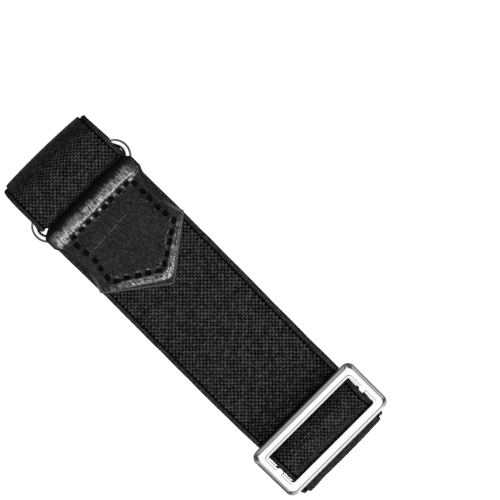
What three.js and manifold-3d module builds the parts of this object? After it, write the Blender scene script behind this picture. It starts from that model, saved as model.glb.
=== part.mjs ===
// A shirt sleeve holder: one strap of elastic run as an adjustable double loop, with a leather tab, an oblong
// wire ring and a three-bar slide. Millimetres. +X runs along the strap from the ring to the slide, +Y across
// it and +Z up. The origin is on the surface that the loop lies on, below the middle of its box.
import * as THREE from "three";
import { mergeVertices } from "three/addons/utils/BufferGeometryUtils.js";
import { ParametricGeometry } from "three/addons/geometries/ParametricGeometry.js";
import Module from "manifold-3d";

const wasm = await Module();
wasm.setup();

// Strap
const STRAP_WIDTH = 30;
const STRAP_THICKNESS = 1.1;
const SELVEDGE_WIDTH = 1.45;
const SELVEDGE_THICKNESS = 0.8;
const LAYER_GAP = 0.25; // air between two layers of the strap
const LOOP_LENGTH = 117; // over both end folds
const END_REACH = 11; // how far an end fold curves, along X
const RIGHT_SIDE_Z = 16.5; // height where the fold beyond the slide stands furthest out
const RIGHT_SHOULDER_RADIUS = 16; // of the strap between the slide and that height
const SEWN_END_X = -35; // the strap's end inside the leather tab
const SEWN_FLAP_LENGTH = 15; // the strap's other end, turned back below the slide's middle bar
const DIP_X = 32.5; // where the flat top starts down towards the slide
const DIP_RADIUS = 9;
const UNDER_BAR_RADIUS = 2.6; // of the strap's middle below each outer bar of the slide, clear of its corners
const HALF_WRAP = 0.7; // half the straight stretch across the slide's middle bar
const JOIN_ANGLE = 165; // degrees round the left fold, where the turned-back layer meets its inside
const TURN_PULL = 7; // how far the turned-back layer runs on from the ring before it bends down
const JOIN_PULL = 6; // how far it runs beside the left fold before it joins it

// Ring
const RING_WIRE = 2.1;
const RING_LENGTH = 34.7; // outside, across the strap
const RING_WIDTH = 9.1; // outside, along the strap
const RING_X = -41.8;
const RING_Z = 33.75; // also the height of the strap's middle on the flat top
const RING_TURN = 1.5; // degrees, in its own plane
const FOLD_RADIUS = 3.55; // of the strap's middle where it turns round the ring's far bar
const FOLD_GAP = 0.4; // air between that bar and the strap above it

// Leather tab
const LEATHER_THICKNESS = 1.2;
const ROLL_GAP = 0.4; // air between the ring's near bar and the leather round it
const TAB_END_WIDTH = 31.5; // at the ring
const TAB_ROLL_WIDTH = 26.4; // at the front of the roll, clear of the ring's bends
const TAB_SIDE_LENGTH = 2.5; // straight, beside the ring's near bar
const TAB_WAIST_X = -26.5;
const TAB_WAIST_WIDTH = 27.8;
const TAB_SHOULDER_X = -19.1;
const TAB_SHOULDER_WIDTH = 30.9;
const TAB_TIP_X = -7.15;

// Slide
const SLIDE_LENGTH = 36.9; // across the strap
const SLIDE_WIDTH = 16.6;
const SLIDE_THICKNESS = 1.8;
const SLIDE_X = 47.8;
const SLIDE_Z = 32.34;
const SLIDE_TILT = 14; // degrees, its far side down
const BAR_WIDTH = 3.3; // of the slide's outer frame, bevels included
const MIDDLE_BAR_WIDTH = 2;
const MIDDLE_BAR_TOP = -0.2; // its thinned upper face, from the slide's middle plane
const MIDDLE_BAR_GAP = 0.32; // air between that bar and the strap sewn round it
const OUTER_BEVEL = 0.8;
const INNER_BEVEL = 0.4;
const BEVEL_DEPTH = 0.3;
const FRAME_CORNER = 1.5;
const SLOT_CORNER = 1.2;

const CLEARANCE = 0.25; // air between two different pieces
const ARC_STEP = 1.7; // longest facet along a curve
const ARC_TURN = THREE.MathUtils.degToRad(15); // widest turn of one facet
const CURVE_STEPS = 8; // facets along the curve of the turned-back layer
const RING_STEPS = 60; // facets round the ring
const WIRE_SIDES = 12; // facets round its wire

const ringBarX = (RING_WIDTH - RING_WIRE) / 2; // from the ring's middle to each bar's middle
const farBarX = RING_X - ringBarX;
const nearBarX = RING_X + ringBarX;
const strapZ = RING_Z;
const layerStep = STRAP_THICKNESS + LAYER_GAP;
const endTopZ = RING_Z + RING_WIRE / 2 + FOLD_GAP + STRAP_THICKNESS / 2;
const endX = LOOP_LENGTH / 2 - END_REACH; // where the end folds start to curve
const endRadiusX = END_REACH - STRAP_THICKNESS / 2;
const degrees = THREE.MathUtils.degToRad;

// Points on an arc of an ellipse, from one angle to another, in the X-Z plane.
function arc(x, z, radiusX, radiusZ, from, to) {
  const turn = Math.abs(to - from);
  const length = turn * Math.max(radiusX, radiusZ);
  const steps = Math.max(2, Math.ceil(length / ARC_STEP), Math.ceil(turn / ARC_TURN));
  return Array.from({ length: steps + 1 }, (_, i) => {
    const angle = from + ((to - from) * i) / steps;
    return new THREE.Vector2(x + radiusX * Math.cos(angle), z + radiusZ * Math.sin(angle));
  });
}

// The route of a strap drawn tight round a row of wheels, as a belt runs: an arc on each wheel, and straight
// lines that touch both neighbours. side is 1 where the strap passes over the wheel and -1 where it passes
// under. A wheel of radius 0 is a plain point.
function roundWheels(wheels) {
  const headings = wheels.slice(1).map((next, i) => {
    const here = wheels[i];
    const apart = Math.hypot(next.x - here.x, next.z - here.z);
    const direct = Math.atan2(next.z - here.z, next.x - here.x);
    return direct - Math.asin((here.side * here.radius - next.side * next.radius) / apart);
  });
  return wheels.flatMap((wheel, i) => {
    if (wheel.radius === 0) return [new THREE.Vector2(wheel.x, wheel.z)];
    const quarter = (wheel.side * Math.PI) / 2;
    const arriving = headings[i - 1];
    const leaving = headings[i] ?? wheel.leaving;
    return arc(wheel.x, wheel.z, wheel.radius, wheel.radius, arriving + quarter, leaving + quarter);
  });
}

// The direction square to a line of points, to the left of the way it runs.
function leftward(points, i) {
  const before = points[Math.max(i - 1, 0)];
  const after = points[Math.min(i + 1, points.length - 1)];
  return new THREE.Vector2(before.y - after.y, after.x - before.x).normalize();
}

function beside(points, distance) {
  return points.map((p, i) => p.clone().addScaledVector(leftward(points, i), distance));
}

function withoutDoubles(points) {
  return points.filter((p, i) => i === 0 || p.distanceTo(points[i - 1]) > 0.05);
}

// Part of a line of points, as far as a length along it.
function firstPart(points, length) {
  const kept = [points[0]];
  let run = 0;
  for (let i = 1; i < points.length && run < length; i++) {
    run += points[i].distanceTo(points[i - 1]);
    kept.push(points[i]);
  }
  return kept;
}

// A sheet of even thickness seen from its edge, extruded across the strap.
function sheetAlong(points, thickness, width, middleY = 0) {
  const outline = [...beside(points, thickness / 2), ...beside(points, -thickness / 2).reverse()];
  const geometry = new THREE.ExtrudeGeometry(new THREE.Shape(outline), { depth: width, bevelEnabled: false });
  geometry.translate(0, 0, -width / 2);
  geometry.rotateX(Math.PI / 2);
  geometry.translate(0, middleY, 0);
  return geometry;
}

function solid(geometry) {
  const bare = new THREE.BufferGeometry().setAttribute("position", geometry.getAttribute("position"));
  bare.setIndex(geometry.index);
  const merged = mergeVertices(bare, 1e-4);
  const vertProperties = new Float32Array(merged.getAttribute("position").array);
  const triVerts = new Uint32Array(merged.index.array);
  return new wasm.Manifold(new wasm.Mesh({ numProp: 3, vertProperties, triVerts }));
}

function geometryOf(body) {
  const mesh = body.getMesh();
  const geometry = new THREE.BufferGeometry();
  geometry.setAttribute("position", new THREE.BufferAttribute(mesh.vertProperties, 3));
  geometry.setIndex(new THREE.BufferAttribute(mesh.triVerts, 1));
  const faceted = geometry.toNonIndexed();
  faceted.computeVertexNormals();
  return faceted;
}

// A point given in the slide's own section, along and above its middle plane, as a point of the strap's route.
function fromSlide(along, above) {
  const tilt = degrees(SLIDE_TILT);
  return {
    x: SLIDE_X + along * Math.cos(tilt) + above * Math.sin(tilt),
    z: SLIDE_Z - along * Math.sin(tilt) + above * Math.cos(tilt),
  };
}

// The strap's middle line, from its end inside the leather tab along the top, through the slide, round the
// right end, along the bottom and round the left end to the ring, where it turns back and runs all the way
// round again inside the first layer, to the slide's middle bar.
function strapRoute() {
  const barHalf = (MIDDLE_BAR_TOP + SLIDE_THICKNESS / 2) / 2;
  const barMiddle = MIDDLE_BAR_TOP - barHalf;
  const barWrap = barHalf + MIDDLE_BAR_GAP + STRAP_THICKNESS / 2;
  const overBar = barWrap + layerStep;
  const outerBarX = (SLIDE_WIDTH - BAR_WIDTH) / 2;

  const dip = { x: DIP_X, z: strapZ - DIP_RADIUS, radius: DIP_RADIUS, side: 1 };
  const leftBar = { ...fromSlide(-outerBarX, 0), radius: UNDER_BAR_RADIUS, side: -1 };
  const crestLeft = { ...fromSlide(-HALF_WRAP, barMiddle), radius: overBar, side: 1 };
  const crestRight = { ...fromSlide(HALF_WRAP, barMiddle), radius: overBar, side: 1 };
  const rightBar = { ...fromSlide(outerBarX, 0), radius: UNDER_BAR_RADIUS, side: -1 };
  const shoulder = {
    x: LOOP_LENGTH / 2 - STRAP_THICKNESS / 2 - RIGHT_SHOULDER_RADIUS,
    z: RIGHT_SIDE_Z,
    radius: RIGHT_SHOULDER_RADIUS,
    side: 1,
    leaving: -Math.PI / 2,
  };
  const start = { x: SEWN_END_X, z: strapZ, radius: 0, side: 1 };
  const wheels = [start, dip, leftBar, crestLeft, crestRight, rightBar, shoulder];
  const top = roundWheels(wheels);

  const bottomZ = STRAP_THICKNESS / 2;
  const rightFold = arc(endX, RIGHT_SIDE_Z, endRadiusX, RIGHT_SIDE_Z - bottomZ, 0, -Math.PI / 2);
  const leftMiddleZ = (endTopZ + bottomZ) / 2;
  const leftRadiusZ = (endTopZ - bottomZ) / 2;
  const joinAngle = degrees(JOIN_ANGLE);
  const leftLower = arc(-endX, leftMiddleZ, endRadiusX, leftRadiusZ, degrees(270), joinAngle);
  const leftUpper = arc(-endX, leftMiddleZ, endRadiusX, leftRadiusZ, joinAngle, degrees(90));
  const fold = arc(farBarX, endTopZ - FOLD_RADIUS, FOLD_RADIUS, FOLD_RADIUS, degrees(90), degrees(-90));

  const crestIndex = top.findIndex((p) => p.x > fromSlide(HALF_WRAP, 0).x);
  const doubled = [...top.slice(crestIndex), ...rightFold, ...leftLower];
  const inner = beside(withoutDoubles(doubled), -layerStep).reverse();

  const foldEnd = fold[fold.length - 1];
  const [joined, next] = inner;
  const way = next.clone().sub(joined).normalize();
  const turnedBack = new THREE.CubicBezierCurve(
    foldEnd,
    foldEnd.clone().add(new THREE.Vector2(-TURN_PULL, 0)),
    joined.clone().addScaledVector(way, -JOIN_PULL),
    joined,
  ).getPoints(CURVE_STEPS);

  const tilt = degrees(SLIDE_TILT);
  const left = fromSlide(-HALF_WRAP, barMiddle);
  const wrap = arc(left.x, left.z, barWrap, barWrap, degrees(90) - tilt, degrees(270) - tilt);
  const wrapEnd = wrap[wrap.length - 1];
  const belowInner = beside(inner, layerStep).reverse();
  const clearOfBar = wrapEnd.y - STRAP_THICKNESS / 2 - 0.15;
  const flapStart = belowInner.findIndex((p) => p.y < clearOfBar);
  const flap = firstPart(belowInner.slice(flapStart), SEWN_FLAP_LENGTH);

  const all = [...top, ...rightFold, ...leftLower, ...leftUpper, ...fold, ...turnedBack, ...inner, ...wrap];
  return withoutDoubles([...all, ...flap]);
}

function elasticBand() {
  const route = strapRoute();
  const bodyWidth = STRAP_WIDTH - 2 * SELVEDGE_WIDTH;
  const body = solid(sheetAlong(route, STRAP_THICKNESS, bodyWidth));
  const middleY = (STRAP_WIDTH - SELVEDGE_WIDTH) / 2;
  const edges = [-middleY, middleY].map((y) => solid(sheetAlong(route, SELVEDGE_THICKNESS, SELVEDGE_WIDTH, y)));
  return geometryOf(edges.reduce((joined, edge) => joined.add(edge), body));
}

// The oblong ring about its own middle, lying flat, with its bars across the strap: a round wire carried round
// two straights and two half circles.
function ringGeometry(wireRadius) {
  const straight = RING_LENGTH - RING_WIDTH;
  const bend = Math.PI * ringBarX;
  const middleLine = (share, target) => {
    const along = share * (2 * straight + 2 * bend);
    const half = along < straight + bend ? 1 : -1;
    const run = half === 1 ? along : along - straight - bend;
    const angle = Math.max(run - straight, 0) / ringBarX;
    const y = Math.min(run, straight) - straight / 2 + ringBarX * Math.sin(angle);
    return target.set(half * ringBarX * Math.cos(angle), half * y, angle + (half === 1 ? 0 : Math.PI));
  };
  const at = new THREE.Vector3();
  const surface = (u, v, target) => {
    middleLine(u % 1, at);
    const round = 2 * Math.PI * (v % 1);
    const out = wireRadius * Math.cos(round);
    target.set(at.x + out * Math.cos(at.z), at.y + out * Math.sin(at.z), wireRadius * Math.sin(round));
  };
  return new ParametricGeometry(surface, RING_STEPS, WIRE_SIDES);
}

function placedRing(wireRadius) {
  return ringGeometry(wireRadius).rotateZ(degrees(RING_TURN)).translate(RING_X, 0, RING_Z);
}

// The tab seen from above: straight sides by the roll, drawn in at the waist, shoulders and a point. The
// corners at the roll are cut back to clear the ring's bends.
function tabOutline() {
  const [rollHalf, endHalf] = [TAB_ROLL_WIDTH / 2, TAB_END_WIDTH / 2];
  const [waistHalf, shoulderHalf] = [TAB_WAIST_WIDTH / 2, TAB_SHOULDER_WIDTH / 2];
  const rollFront = nearBarX - RING_WIRE / 2 - ROLL_GAP - LEATHER_THICKNESS;
  const beforeRoll = rollFront - 1; // clear of the roll
  const cutEnd = rollFront + 0.35; // the cut corner runs from here to the near bar
  const cutPull = { x: cutEnd + 0.7, y: endHalf - 0.6 };
  const sideEnd = nearBarX + TAB_SIDE_LENGTH;
  const waistPull = 4; // how far each curve about the waist runs along it
  const half = new THREE.Path();
  half.moveTo(beforeRoll, rollHalf);
  half.lineTo(cutEnd, rollHalf);
  half.quadraticCurveTo(cutPull.x, cutPull.y, nearBarX, endHalf);
  half.lineTo(sideEnd, endHalf);
  half.quadraticCurveTo(sideEnd + waistPull, waistHalf, TAB_WAIST_X, waistHalf);
  half.quadraticCurveTo(TAB_WAIST_X + waistPull, waistHalf, TAB_SHOULDER_X, shoulderHalf);
  half.lineTo(TAB_TIP_X, 0);
  const points = half.getPoints(6);
  const mirrored = points.slice(0, -1).map((p) => new THREE.Vector2(p.x, -p.y));
  return new THREE.Shape([...points.reverse(), ...mirrored]);
}

// The tab seen from its edge: the upper flap, the roll round the ring's near bar and the lower flap.
function leatherTab() {
  const flapZ = STRAP_THICKNESS / 2 + CLEARANCE + LEATHER_THICKNESS / 2;
  const rollRadius = RING_WIRE / 2 + ROLL_GAP + LEATHER_THICKNESS / 2;
  const flapX = nearBarX + 4; // where the leather has come down from the roll to the strap
  const pastTip = TAB_TIP_X + 1; // the point itself is cut by the outline
  const line = [
    new THREE.Vector2(pastTip, RING_Z + flapZ),
    new THREE.Vector2(flapX, RING_Z + flapZ),
    ...arc(nearBarX, RING_Z, rollRadius, rollRadius, degrees(80), degrees(280)),
    new THREE.Vector2(flapX, RING_Z - flapZ),
    new THREE.Vector2(pastTip, RING_Z - flapZ),
  ];
  const folded = solid(sheetAlong(line, LEATHER_THICKNESS, TAB_END_WIDTH + 2));
  const blankHeight = 4 * (rollRadius + LEATHER_THICKNESS);
  const blank = new THREE.ExtrudeGeometry(tabOutline(), { depth: blankHeight, bevelEnabled: false });
  blank.translate(0, 0, RING_Z - blankHeight / 2);
  const roomForRing = solid(placedRing(RING_WIRE / 2 + CLEARANCE));
  return geometryOf(folded.intersect(solid(blank)).subtract(roomForRing));
}

function roundedRectangle(path, middleX, middleY, width, length, radius) {
  const [x, y] = [width / 2 - radius, length / 2 - radius];
  path.absarc(middleX + x, middleY + y, radius, 0, Math.PI / 2);
  path.absarc(middleX - x, middleY + y, radius, Math.PI / 2, Math.PI);
  path.absarc(middleX - x, middleY - y, radius, Math.PI, 1.5 * Math.PI);
  path.absarc(middleX + x, middleY - y, radius, 1.5 * Math.PI, 2 * Math.PI);
  path.closePath();
  return path;
}

function bevelledPlate(shape, bevel) {
  const geometry = new THREE.ExtrudeGeometry(shape, {
    depth: SLIDE_THICKNESS - 2 * BEVEL_DEPTH,
    bevelThickness: BEVEL_DEPTH,
    bevelSize: bevel,
    bevelOffset: -bevel,
    bevelSegments: 1,
    curveSegments: 4,
  });
  return solid(geometry.translate(0, 0, BEVEL_DEPTH - SLIDE_THICKNESS / 2));
}

// A flat frame with bevelled edges and two slots. The bar between them is thinned where the strap lies on it.
function slide() {
  const slotLength = SLIDE_LENGTH - 2 * BAR_WIDTH;
  const slotWidth = (SLIDE_WIDTH - 2 * BAR_WIDTH - MIDDLE_BAR_WIDTH) / 2;
  const slotX = (MIDDLE_BAR_WIDTH + slotWidth) / 2;
  const outline = () => roundedRectangle(new THREE.Shape(), 0, 0, SLIDE_WIDTH, SLIDE_LENGTH, FRAME_CORNER);
  const slotted = outline();
  slotted.holes = [-slotX, slotX].map((x) => {
    return roundedRectangle(new THREE.Path(), x, 0, slotWidth, slotLength, SLOT_CORNER);
  });
  const frame = bevelledPlate(slotted, INNER_BEVEL).intersect(bevelledPlate(outline(), OUTER_BEVEL));
  const thinning = new THREE.BoxGeometry(slotWidth + MIDDLE_BAR_WIDTH, slotLength, SLIDE_THICKNESS);
  thinning.translate(0, 0, MIDDLE_BAR_TOP + SLIDE_THICKNESS / 2);
  return geometryOf(frame.subtract(solid(thinning)));
}

const blackElastic = new THREE.MeshStandardMaterial({ color: 0x242424, roughness: 0.9, metalness: 0 });
const blackLeather = new THREE.MeshStandardMaterial({ color: 0x1c1b1b, roughness: 0.5, metalness: 0 });
const chrome = new THREE.MeshStandardMaterial({ color: 0xe6e6e8, roughness: 0.12, metalness: 1 });

function piece(name, geometry, material) {
  const mesh = new THREE.Mesh(geometry, material);
  mesh.name = name;
  return mesh;
}

const sleeveHolder = new THREE.Group();
sleeveHolder.add(piece("elastic_band", elasticBand(), blackElastic));
sleeveHolder.add(piece("leather_tab", leatherTab(), blackLeather));
sleeveHolder.add(piece("ring", placedRing(RING_WIRE / 2), chrome));

const tiltedSlide = piece("slide", slide(), chrome);
tiltedSlide.position.set(SLIDE_X, 0, SLIDE_Z);
tiltedSlide.rotation.y = degrees(SLIDE_TILT);
sleeveHolder.add(tiltedSlide);

export default sleeveHolder;
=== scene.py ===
# %% [markdown]
# # Shirt sleeve holder
# A sleeve holder is one long strap of elastic, run as a double loop round the arm. A leather tab and a wire
# ring join its two ends into a loop, and a slide with three bars sets how long the loop is. The drawing model
# already holds the true sizes of the four pieces, so this scene loads it as a fixed frame. Each piece is then
# made again as a finer surface in the same place: woven ribs, puckered leather, rounded metal.

import bpy
import numpy as np
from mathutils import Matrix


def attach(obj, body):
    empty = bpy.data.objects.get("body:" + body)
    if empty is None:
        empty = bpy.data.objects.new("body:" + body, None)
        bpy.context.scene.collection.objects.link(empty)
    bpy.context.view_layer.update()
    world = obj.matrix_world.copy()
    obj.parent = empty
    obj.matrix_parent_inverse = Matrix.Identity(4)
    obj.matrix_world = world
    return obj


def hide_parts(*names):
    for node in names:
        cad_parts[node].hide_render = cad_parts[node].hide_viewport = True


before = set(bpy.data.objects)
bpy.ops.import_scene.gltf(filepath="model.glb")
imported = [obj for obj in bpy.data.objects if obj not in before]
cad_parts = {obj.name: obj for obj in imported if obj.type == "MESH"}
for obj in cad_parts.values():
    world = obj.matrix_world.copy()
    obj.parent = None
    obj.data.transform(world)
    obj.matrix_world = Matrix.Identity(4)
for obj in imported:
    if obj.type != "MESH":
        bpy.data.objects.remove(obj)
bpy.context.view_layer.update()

MM = 0.001  # metres; every length below is in millimetres
rng = np.random.default_rng(41)

# %% [markdown]
# The camera looks straight down on the strap, which lies from corner to corner of a square picture. A strap
# that lies along X does that when the camera is turned by 45 degrees about its own line of sight. The lens is
# a long one, a little over half a metre up, so the far ends of the loop hardly lean outwards. A shorter lens
# close by would show the sides of the loop, and a parallel view would hide them altogether.

# %% Camera
CAMERA_HEIGHT = 609.5
CAMERA_MIDDLE = (0.85, 20.5)
CAMERA_TURN = 45  # degrees
LENS = 156.6

camera = bpy.data.objects.new("camera", bpy.data.cameras.new("camera"))
camera.data.lens = LENS
camera.data.sensor_width = 36
camera.location = (CAMERA_MIDDLE[0] * MM, CAMERA_MIDDLE[1] * MM, CAMERA_HEIGHT * MM)
camera.rotation_euler = (0, 0, np.radians(CAMERA_TURN))
bpy.context.scene.collection.objects.link(camera)
bpy.context.scene.camera = camera

# %% [markdown]
# Every piece below is a grid of points worked out with whole arrays, and then handed to Blender in one step.
# A few helpers do the common work: they number the corners of a grid's faces, turn the faces outwards and
# make the object, and give a smooth random surface for the small unevenness of cloth and leather.

# %% Grids, pieces and soft random surfaces
def grid_faces(rows, columns, closed_rows=False, closed_columns=False):
    """Corner numbers of the four-sided faces between neighbouring rows and columns of points."""
    row = np.arange(rows if closed_rows else rows - 1)[:, None]
    column = np.arange(columns if closed_columns else columns - 1)[None, :]
    next_row = (row + 1) % rows
    next_column = (column + 1) % columns
    corners = [
        row * columns + column,
        next_row * columns + column,
        next_row * columns + next_column,
        row * columns + next_column,
    ]
    return np.stack(corners, axis=-1).reshape(-1, 4)


def end_caps(rows, columns, first=0):
    """Corner numbers of the two faces that close the first and the last row of a grid, counted from first."""
    after = first + rows * columns
    return [range(first, first + columns), range(after - 1, after - 1 - columns, -1)]


def enclosed_volume(points, faces):
    """A sixth of the summed products a . (b x c) over the two triangles of each face."""
    a, b, c, d = (points[faces[:, i]] for i in range(4))
    return float(np.sum(a * np.cross(b, c)) + np.sum(a * np.cross(c, d))) / 6


def add_piece(name, points, faces, caps=(), attributes=None, sharp_angle=None):
    """A smooth mesh object from points in millimetres. Its faces are turned round if they point inwards."""
    points = points.reshape(-1, 3)
    volume = enclosed_volume(points, faces)
    all_faces = faces.tolist() + [list(cap) for cap in caps]
    if volume < 0:
        all_faces = [face[::-1] for face in all_faces]
    mesh = bpy.data.meshes.new(name)
    mesh.from_pydata((points * MM).tolist(), [], all_faces)
    mesh.shade_smooth()
    if sharp_angle is not None:
        mesh.set_sharp_from_angle(angle=np.radians(sharp_angle))
    for key, values in (attributes or {}).items():
        kind = "FLOAT_VECTOR" if values.ndim > 1 else "FLOAT"
        layer = mesh.attributes.new(key, kind, "POINT")
        layer.data.foreach_set("vector" if values.ndim > 1 else "value", values.ravel())
    piece = bpy.data.objects.new(name, mesh)
    bpy.context.scene.collection.objects.link(piece)
    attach(piece, "root")
    triangles = sum(len(face) - 2 for face in all_faces)
    print(f"{name}: {triangles} triangles, {abs(volume):.0f} cubic mm")
    return piece


def smooth_step(value, start, end):
    """0 up to start, 1 from end on, with an even curve between."""
    share = np.clip((value - start) / (end - start), 0, 1)
    return share * share * (3 - 2 * share)


LATTICE = 97  # points along each side of the random lattice, after which it repeats
LATTICE_START = (311.3, 205.7)  # where the piece's middle lies on it


def soft_noise(x, y, cell, seed):
    """Random heights from -1 to 1 on a square lattice, blended between its points with a smooth step."""
    heights = np.random.default_rng(seed).uniform(-1, 1, (LATTICE, LATTICE))
    u, v = np.asarray(x) / cell + LATTICE_START[0], np.asarray(y) / cell + LATTICE_START[1]
    i, j = np.floor(u).astype(int), np.floor(v).astype(int)
    a, b = smooth_step(u - i, 0, 1), smooth_step(v - j, 0, 1)
    i, j = i % LATTICE, j % LATTICE
    next_i, next_j = (i + 1) % LATTICE, (j + 1) % LATTICE
    near = heights[i, j] * (1 - a) + heights[next_i, j] * a
    far = heights[i, next_j] * (1 - a) + heights[next_i, next_j] * a
    return near * (1 - b) + far * b


# %% [markdown]
# ## The strap's route
# The strap starts inside the leather tab, runs along the top, weaves over the slide's middle bar, goes round
# the loop to the ring, folds back there and runs all the way round again inside the first layer. Its end is
# sewn round the middle bar. Seen from the side that is a belt round a row of wheels: an arc on each wheel
# and a straight line that touches both neighbours. The same rule as in the drawing gives the same route, so
# the fine strap runs where the drawn one does. Drawing it by eye would miss the slide's bars.

# %% Sizes of the strap, the ring and the slide
STRAP_THICKNESS = 1.1
LAYER_STEP = 1.35  # from one layer's middle to the next
LOOP_HALF = 58.5
END_REACH = 11.0
RIGHT_SIDE_Z = 16.5
RIGHT_SHOULDER = 16.0
STRAP_START_X = -35.0
SEWN_FLAP = 15.0

WIRE = 2.1
RING_LENGTH = 34.7
RING_X = -41.8
RING_Z = 33.75
RING_BAR = 3.5  # from the ring's middle to the middle of each bar
RING_TURN = 1.5  # degrees
FOLD_RADIUS = 3.55

SLIDE_X = 47.8
SLIDE_Z = 32.34
SLIDE_TILT = np.radians(14)
SLIDE_WIDTH = 16.6
SLIDE_LENGTH = 36.9
SLIDE_THICKNESS = 1.8
SLIDE_BAR = 3.3
MIDDLE_BAR_TOP = -0.2


def from_slide(along, above):
    """A place in the slide's own section, turned by its tilt and moved to its middle, as X and Z."""
    x = SLIDE_X + along * np.cos(SLIDE_TILT) + above * np.sin(SLIDE_TILT)
    z = SLIDE_Z - along * np.sin(SLIDE_TILT) + above * np.cos(SLIDE_TILT)
    return np.array([x, z])


# %% Lines and arcs of the route
FINE = 0.1  # between points of the route before it is divided evenly


def arc(middle, radius_x, radius_z, start, end):
    """Middle plus the radii times the cosine and sine of an even row of angles, given in radians."""
    count = int(abs(end - start) * max(radius_x, radius_z) / FINE) + 3
    angle = np.linspace(start, end, count)
    return np.stack([middle[0] + radius_x * np.cos(angle), middle[1] + radius_z * np.sin(angle)], axis=1)


def line(start, end):
    """Even points from start to end."""
    count = int(np.hypot(*np.subtract(end, start)) / FINE) + 2
    return np.linspace(start, end, count)


def belt(wheels, leaving):
    """Arcs on wheels (middle, radius, side) joined by lines that touch both. Side is 1 over and -1 under."""
    headings = []
    for (here, radius, side), (there, next_radius, next_side) in zip(wheels, wheels[1:]):
        apart = there - here
        lean = np.arcsin((side * radius - next_side * next_radius) / np.hypot(*apart))
        headings.append(np.arctan2(apart[1], apart[0]) - lean)
    headings.append(leaving)
    parts = [wheels[0][0][None, :]]
    for (middle, radius, side), came, goes in zip(wheels[1:], headings, headings[1:]):
        quarter = side * np.pi / 2
        bend = arc(middle, radius, radius, came + quarter, goes + quarter)
        parts += [line(parts[-1][-1], bend[0]), bend]
    return np.concatenate(parts)


def leftward(route):
    """Unit lines square to the route, to the left of the way it runs."""
    along = np.gradient(route, axis=0)
    along /= np.linalg.norm(along, axis=1, keepdims=True)
    return np.stack([-along[:, 1], along[:, 0]], axis=1)


def distances(route):
    """How far along the route each of its points lies: the sum of the steps up to it."""
    return np.concatenate([[0], np.cumsum(np.linalg.norm(np.diff(route, axis=0), axis=1))])


def without_doubles(route):
    """The route without points that lie on the one before."""
    gaps = np.linalg.norm(np.diff(route, axis=0), axis=1)
    return route[np.concatenate([[True], gaps > FINE / 5])]


def beside(route, distance):
    """The route moved to its left by a distance."""
    route = without_doubles(route)
    return route + leftward(route) * distance


def curve_between(start, start_handle, end_handle, end):
    """The cubic curve of four points: each weighted by the terms of ((1 - s) + s) cubed."""
    s = np.linspace(0, 1, 121)[:, None]
    rest = 1 - s
    return rest**3 * start + 3 * rest**2 * s * start_handle + 3 * rest * s**2 * end_handle + s**3 * end


# %% The whole route
DIVE_X = 32.5  # where the strap starts to dive under the slide
DIVE_RADIUS = 9.0
UNDER_BAR = 2.6  # radius of the route under each outer bar
BAR_SIDE = 0.7  # from the middle bar's middle to where its rounding starts
BAR_GAP = 0.32  # between the middle bar and the cloth round it
RING_GAP = 0.4  # between the ring's wire and the cloth over it
JOIN_ANGLE = np.radians(165)  # up to here the inner layer follows the outer one round the left end
TURN_HANDLES = (7.0, 6.0)  # how far the turn from the ring's fold to the inner layer swings out
FLAP_DROP = 0.7  # from the end of the wrap round the middle bar down to the sewn flap


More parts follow.
